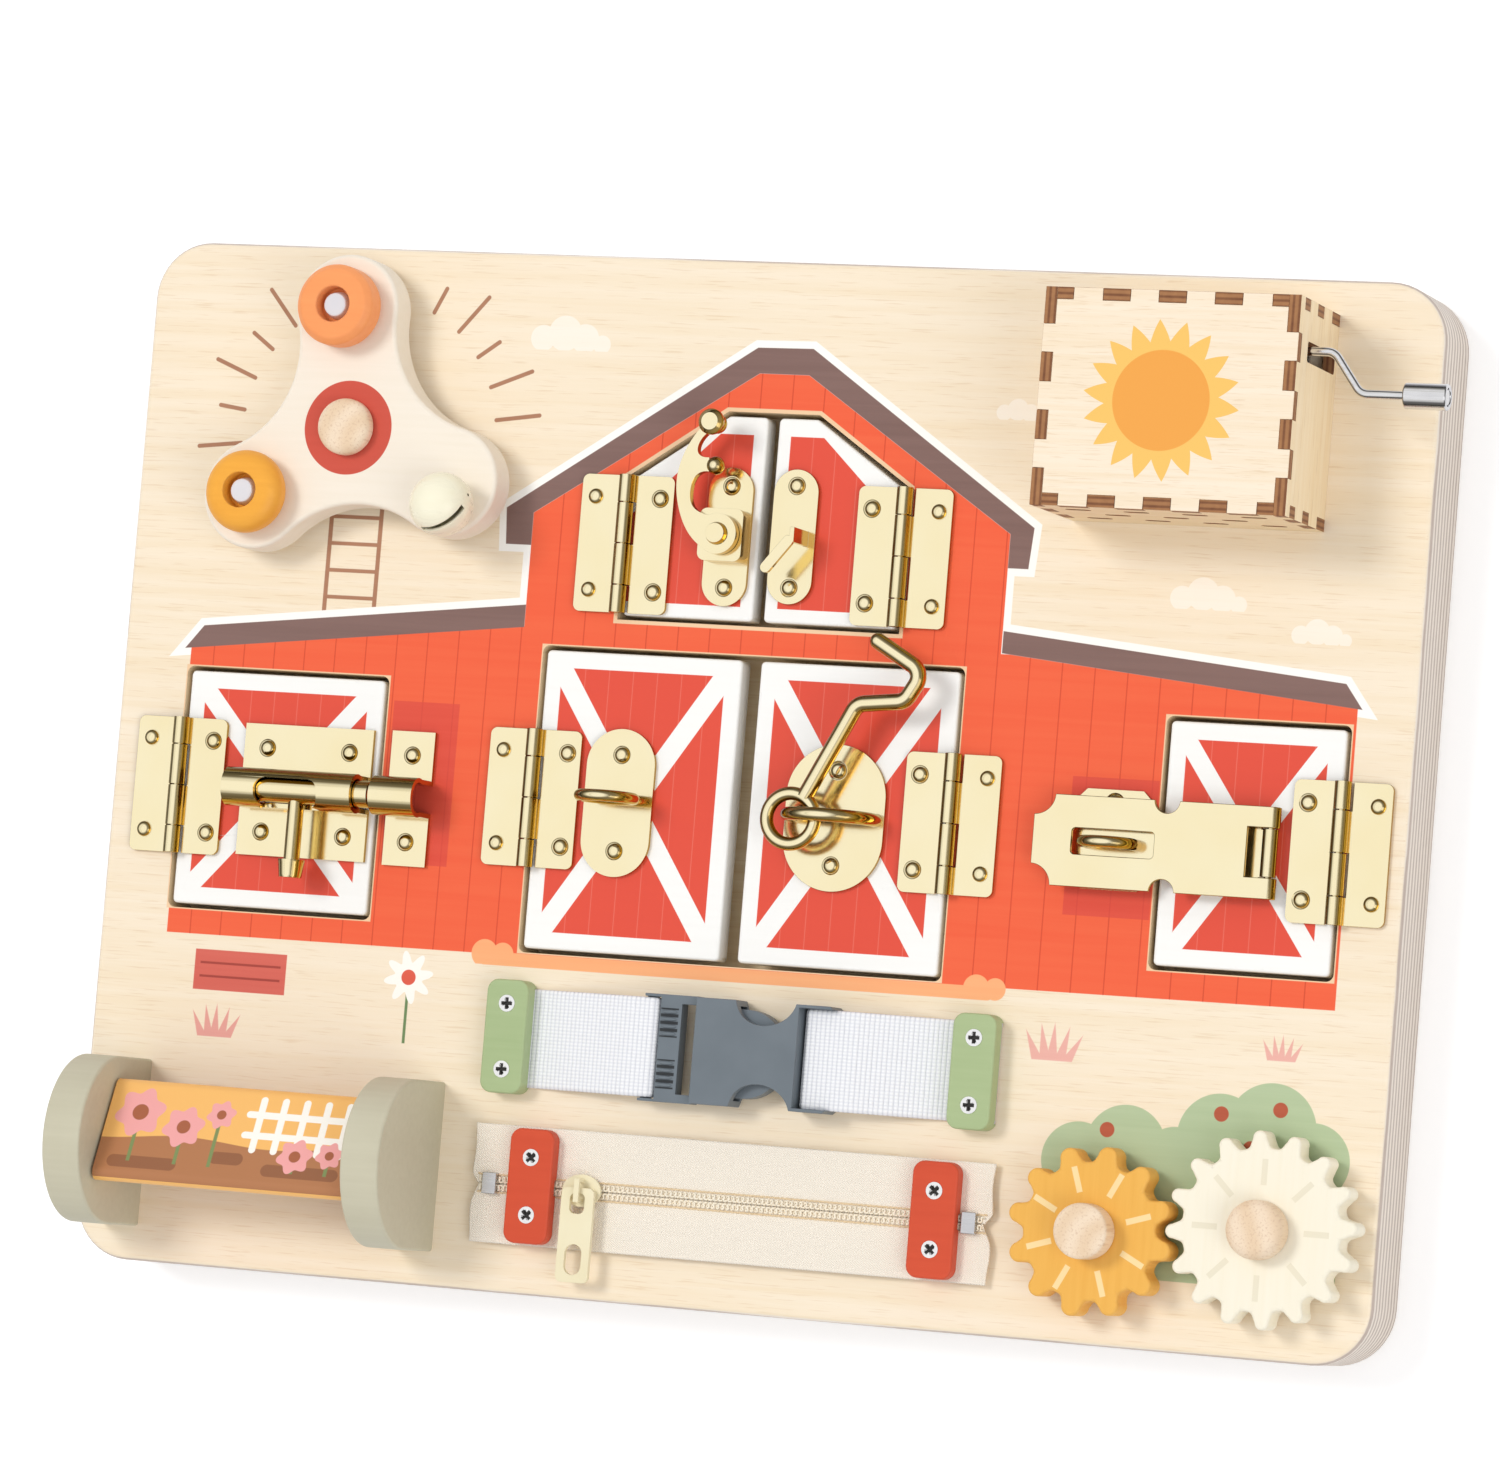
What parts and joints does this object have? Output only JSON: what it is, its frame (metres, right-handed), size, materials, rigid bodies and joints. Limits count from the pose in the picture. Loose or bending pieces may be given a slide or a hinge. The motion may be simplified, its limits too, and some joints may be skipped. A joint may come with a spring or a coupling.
{
  "type": "wooden busy board",
  "caption": "Plywood barn busy board with latched doors, spinner, music box, picture roller, buckle, zipper and gears",
  "frame": {"origin": "Centre of the flat back face", "axes": "+X to the board's right, +Y to its top edge, +Z out of its front face"},
  "size_m": [0.3583, 0.267, 0.0637],
  "materials": {
    "birch_ply": "Clear-lacquered birch plywood, grey-brown glue lines on the edge",
    "red_print": "Satin red paint print on plywood doors, white borders",
    "brass": "Polished brass-plated steel",
    "cream_paint": "Satin cream paint on wood",
    "mustard_paint": "Satin mustard paint on wood",
    "orange_paint": "Satin orange paint on wood",
    "sage_paint": "Satin sage green paint on wood",
    "brick_paint": "Satin brick red paint on wood",
    "grey_green_paint": "Satin grey-green paint on wood",
    "roller_print": "Satin printed picture faces on wood",
    "bare_wood": "Bare turned wood",
    "laser_ply": "Laser-cut plywood with burnt brown edges",
    "nickel": "Bright nickel plate",
    "steel": "Bright zinc-plated steel",
    "white_metal": "White painted metal",
    "webbing": "Coarse woven white webbing",
    "buckle_plastic": "Matt dark grey moulded plastic",
    "zip_tape": "Cream woven zipper tape",
    "zip_plastic": "Cream painted zipper slider"
  },
  "bodies": {
    "board": {"back_panel": "birch_ply", "front_panel": "birch_ply", "hinge_frame_leaves": "brass", "hinge_pins": "brass", "bolt_keeper": "brass", "hasp_staple": "brass", "spinner_peg": "bare_wood", "gear_pegs": "bare_wood", "music_box_front": "laser_ply", "music_box_long_walls": "laser_ply", "music_box_left_wall": "laser_ply", "music_box_right_wall": "laser_ply", "movement_bed": "steel", "movement_comb": "steel", "roller_end_blocks": "grey_green_paint", "roller_axle": "bare_wood", "strap_blocks": "sage_paint", "webbing_left": "webbing", "webbing_right": "webbing", "buckle_socket": "buckle_plastic", "zipper_blocks": "brick_paint", "zipper_tapes": "zip_tape", "zipper_end_stops": "steel", "block_screws": "steel"},
    "left_door": {"left_door": "red_print", "left_hinge_leaf": "brass", "bolt_barrel": "brass"},
    "bolt": {"bolt_rod": "brass"},
    "barn_left_door": {"barn_left_door": "red_print", "barn_left_hinge_leaf": "brass", "hook_catch": "brass"},
    "barn_right_door": {"barn_right_door": "red_print", "barn_right_hinge_leaf": "brass", "hook_eye_plate": "brass"},
    "hook": {"door_hook": "brass"},
    "right_door": {"right_door": "red_print", "right_hinge_leaf": "brass", "hasp_base": "brass"},
    "hasp": {"hasp_flap": "brass"},
    "loft_left_door": {"loft_left_door": "red_print", "loft_left_hinge_leaf": "brass", "latch_plate": "brass"},
    "latch_arm": {"latch_arm": "brass"},
    "loft_right_door": {"loft_right_door": "red_print", "loft_right_hinge_leaf": "brass", "loft_catch": "brass"},
    "spinner": {"spinner_body": "cream_paint", "spinner_pins": "white_metal"},
    "orange_bead": {"orange_bead": "orange_paint"},
    "yellow_bead": {"yellow_bead": "mustard_paint"},
    "bell": {"jingle_bell": "white_metal"},
    "orange_gear": {"orange_gear": "mustard_paint"},
    "cream_gear": {"cream_gear": "cream_paint"},
    "roller": {"roller_prism": "roller_print"},
    "crank": {"crank_arm": "nickel"},
    "crank_knob": {"crank_knob": "nickel"},
    "cylinder": {"music_cylinder": "brass"},
    "slider": {"zipper_slider": "zip_plastic"},
    "pull": {"zipper_pull": "zip_plastic"},
    "clip": {"buckle_clip": "buckle_plastic"}
  },
  "joints": [
    {"name": "left_door_hinge", "type": "hinge", "parent": "board", "child": "left_door", "pos_m": [-0.1556, -0.0093, 0.02625], "axis": [0, -1, 0], "range_deg": [0, 100]},
    {"name": "barn_left_door_hinge", "type": "hinge", "parent": "board", "child": "barn_left_door", "pos_m": [-0.0562, -0.007, 0.02625], "axis": [0, -1, 0], "range_deg": [0, 100]},
    {"name": "barn_right_door_hinge", "type": "hinge", "parent": "board", "child": "barn_right_door", "pos_m": [0.057, -0.007, 0.02625], "axis": [0, 1, 0], "range_deg": [0, 100]},
    {"name": "right_door_hinge", "type": "hinge", "parent": "board", "child": "right_door", "pos_m": [0.1582, -0.0082, 0.02625], "axis": [0, 1, 0], "range_deg": [0, 100]},
    {"name": "loft_left_door_hinge", "type": "hinge", "parent": "board", "child": "loft_left_door", "pos_m": [-0.0366, 0.0593, 0.02625], "axis": [0, -1, 0], "range_deg": [0, 100]},
    {"name": "loft_right_door_hinge", "type": "hinge", "parent": "board", "child": "loft_right_door", "pos_m": [0.0386, 0.0593, 0.02625], "axis": [0, 1, 0], "range_deg": [0, 100]},
    {"name": "bolt_slide", "type": "slide", "parent": "left_door", "child": "bolt", "axis": [-1, 0, 0], "range_m": [-0.005, 0.0079]},
    {"name": "hook_swing", "type": "hinge", "parent": "barn_right_door", "child": "hook", "pos_m": [0.0179, -0.0086, 0.034], "axis": [0, 0, -1], "range_deg": [-120, 5]},
    {"name": "latch_swing", "type": "hinge", "parent": "loft_left_door", "child": "latch_arm", "pos_m": [-0.0085, 0.0624, 0.0321], "axis": [0, 0, 1], "range_deg": [-90, 10]},
    {"name": "hasp_fold", "type": "hinge", "parent": "right_door", "child": "hasp", "pos_m": [0.141, -0.0094, 0.0271], "axis": [0, -1, 0], "range_deg": [-160, 0]},
    {"name": "spinner_spin", "type": "hinge", "parent": "board", "child": "spinner", "pos_m": [-0.1108, 0.0848, 0.0325], "axis": [0, 0, 1], "continuous": true},
    {"name": "orange_bead_spin", "type": "hinge", "parent": "spinner", "child": "orange_bead", "pos_m": [-0.11404, 0.11563, 0.041], "axis": [0, 0, 1], "continuous": true},
    {"name": "yellow_bead_spin", "type": "hinge", "parent": "spinner", "child": "yellow_bead", "pos_m": [-0.13588, 0.06658, 0.041], "axis": [0, 0, 1], "continuous": true},
    {"name": "bell_swing", "type": "hinge", "parent": "spinner", "child": "bell", "pos_m": [-0.08308, 0.07199, 0.0396], "axis": [-0.8682, -0.4961, 0], "range_deg": [0, 70]},
    {"name": "cream_gear_spin", "type": "hinge", "parent": "board", "child": "cream_gear", "pos_m": [0.1483, -0.1016, 0.0302], "axis": [0, 0, 1], "continuous": true},
    {"name": "orange_gear_spin", "type": "hinge", "parent": "board", "child": "orange_gear", "pos_m": [0.1047, -0.1054, 0.0302], "axis": [0, 0, 1], "continuous": true},
    {"name": "roller_spin", "type": "hinge", "parent": "board", "child": "roller", "pos_m": [-0.12045, -0.1028, 0.0423], "axis": [1, 0, 0], "continuous": true},
    {"name": "crank_turn", "type": "hinge", "parent": "board", "child": "crank", "pos_m": [0.1334, 0.1124, 0.048], "axis": [1, 0, 0], "continuous": true},
    {"name": "crank_knob_spin", "type": "hinge", "parent": "crank", "child": "crank_knob", "pos_m": [0.1773, 0.1024, 0.048], "axis": [1, 0, 0], "continuous": true},
    {"name": "cylinder_spin", "type": "hinge", "parent": "board", "child": "cylinder", "pos_m": [0.1334, 0.0964, 0.04], "axis": [1, 0, 0], "continuous": true},
    {"name": "zip_slide", "type": "slide", "parent": "board", "child": "slider", "axis": [1, 0, 0], "range_m": [0, 0.082]},
    {"name": "pull_flip", "type": "hinge", "parent": "slider", "child": "pull", "pos_m": [-0.0322, -0.1058, 0.0302], "axis": [-1, 0, 0], "range_deg": [0, 170]},
    {"name": "clip_release", "type": "slide", "parent": "board", "child": "clip", "axis": [-1, 0, 0], "range_m": [0, 0.022], "deforming": ["webbing_left"]}
  ],
  "couplings": [
    {"joint": "orange_gear_spin", "follows": "cream_gear_spin", "ratio": -1.3333},
    {"joint": "cylinder_spin", "follows": "crank_turn", "ratio": -0.53846}
  ]
}
